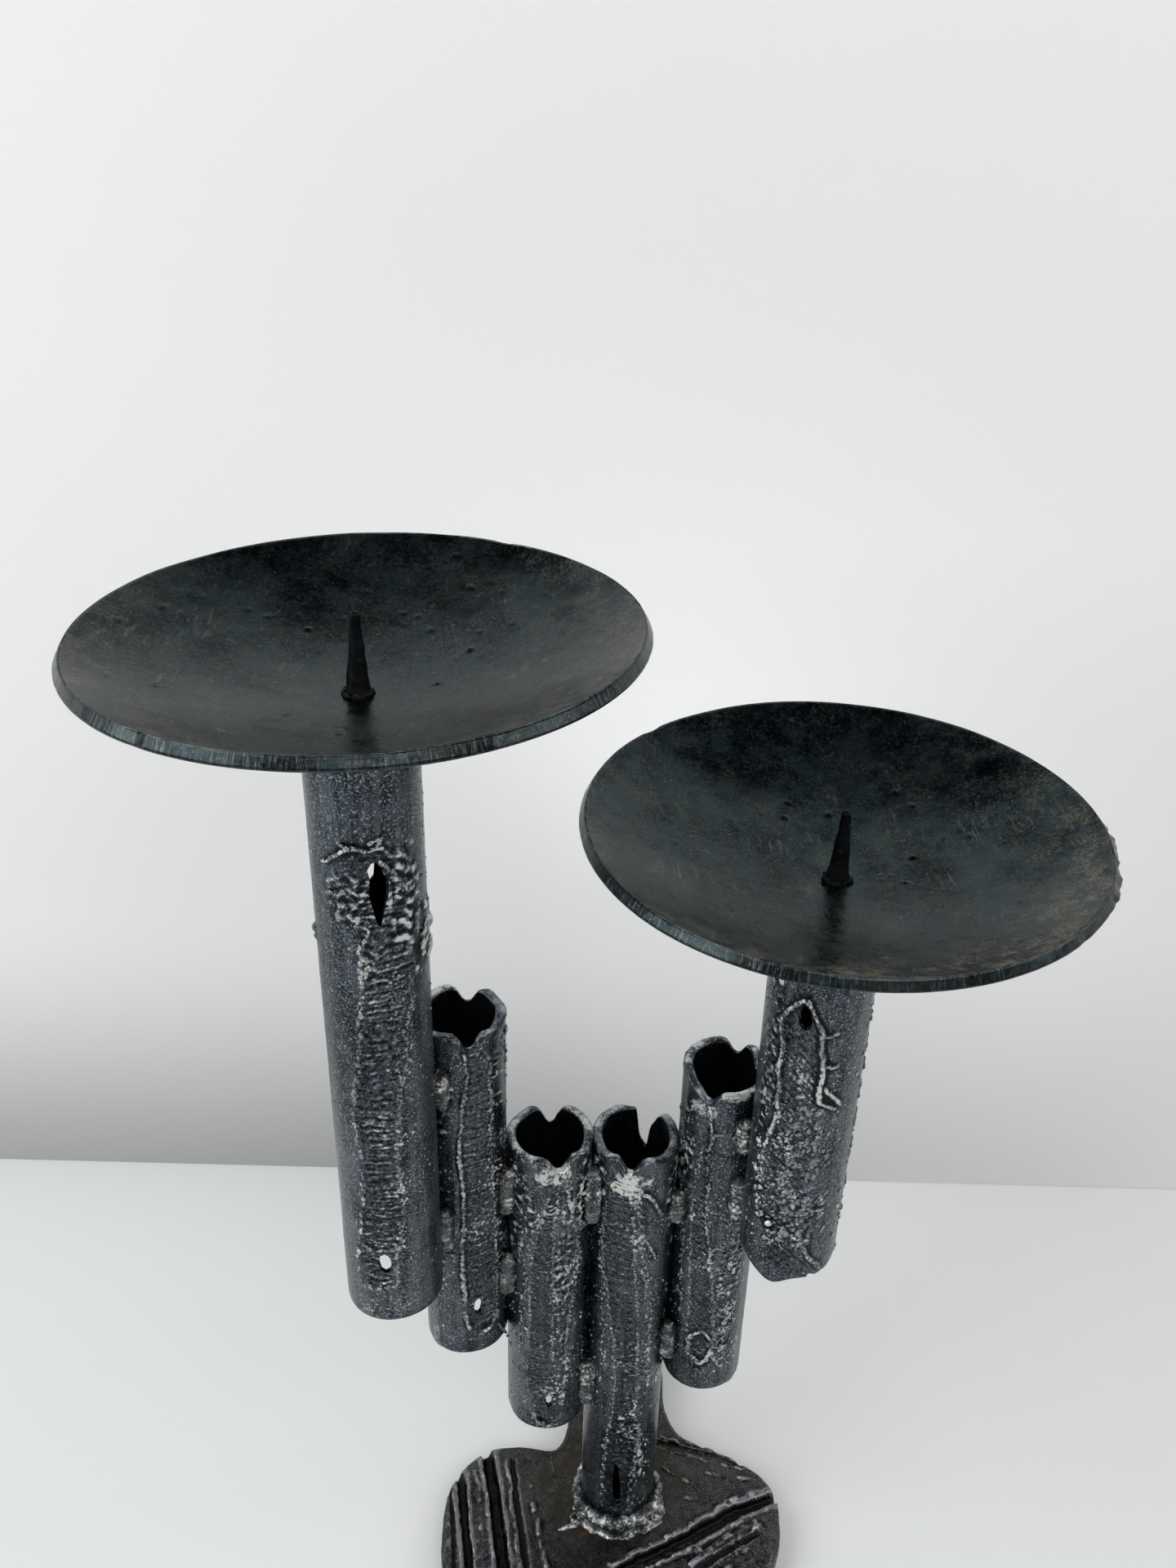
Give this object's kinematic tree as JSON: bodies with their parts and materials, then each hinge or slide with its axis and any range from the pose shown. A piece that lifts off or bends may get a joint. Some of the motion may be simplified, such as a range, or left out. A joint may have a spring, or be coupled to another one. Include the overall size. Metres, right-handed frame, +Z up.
{
  "type": "pricket candlestick",
  "caption": "Brutalist torch-cut steel candlestick: stepped welded tubes on a flame-cut base carry two shallow spiked dishes for pillar candles.",
  "frame": {"origin": "on the table plane, under the axis of the stem tube, at the underside of the base plate", "axes": "+Z up along the stem tube, +Y to the back (the base plate's tongue points there), +X to the right seen from the front, where the lower dish stands"},
  "size_m": [0.2378, 0.1466, 0.3406],
  "materials": {
    "gouged_steel": "torch-gouged and blackened steel with pale dry-brushed slag",
    "dish_steel": "blackened satin steel, waxed, faintly mottled",
    "spike_steel": "blackened satin steel",
    "base_steel": "flame-cut and blackened steel with brown patina",
    "weld_metal": "blackened weld bead with pale dry-brushed tops"
  },
  "bodies": {
    "root": {"base_plate": "base_steel", "base_weld": "weld_metal", "stem_tube": "gouged_steel", "centre_tube_left": "gouged_steel", "inner_tube_left": "gouged_steel", "outer_tube_left": "gouged_steel", "inner_tube_right": "gouged_steel", "outer_tube_right": "gouged_steel", "pan_left": "dish_steel", "pan_right": "dish_steel", "spike_left": "spike_steel", "spike_right": "spike_steel", "pan_weld_left": "weld_metal", "pan_weld_right": "weld_metal", "spike_weld_left": "spike_steel", "spike_weld_right": "spike_steel", "tacks_outer_left_front": "weld_metal", "tacks_outer_left_back": "weld_metal", "tacks_inner_left_front": "weld_metal", "tacks_inner_left_back": "weld_metal", "tacks_centre_front": "weld_metal", "tacks_centre_back": "weld_metal", "tacks_inner_right_front": "weld_metal", "tacks_inner_right_back": "weld_metal", "tacks_outer_right_front": "weld_metal", "tacks_outer_right_back": "weld_metal"}
  },
  "joints": []
}
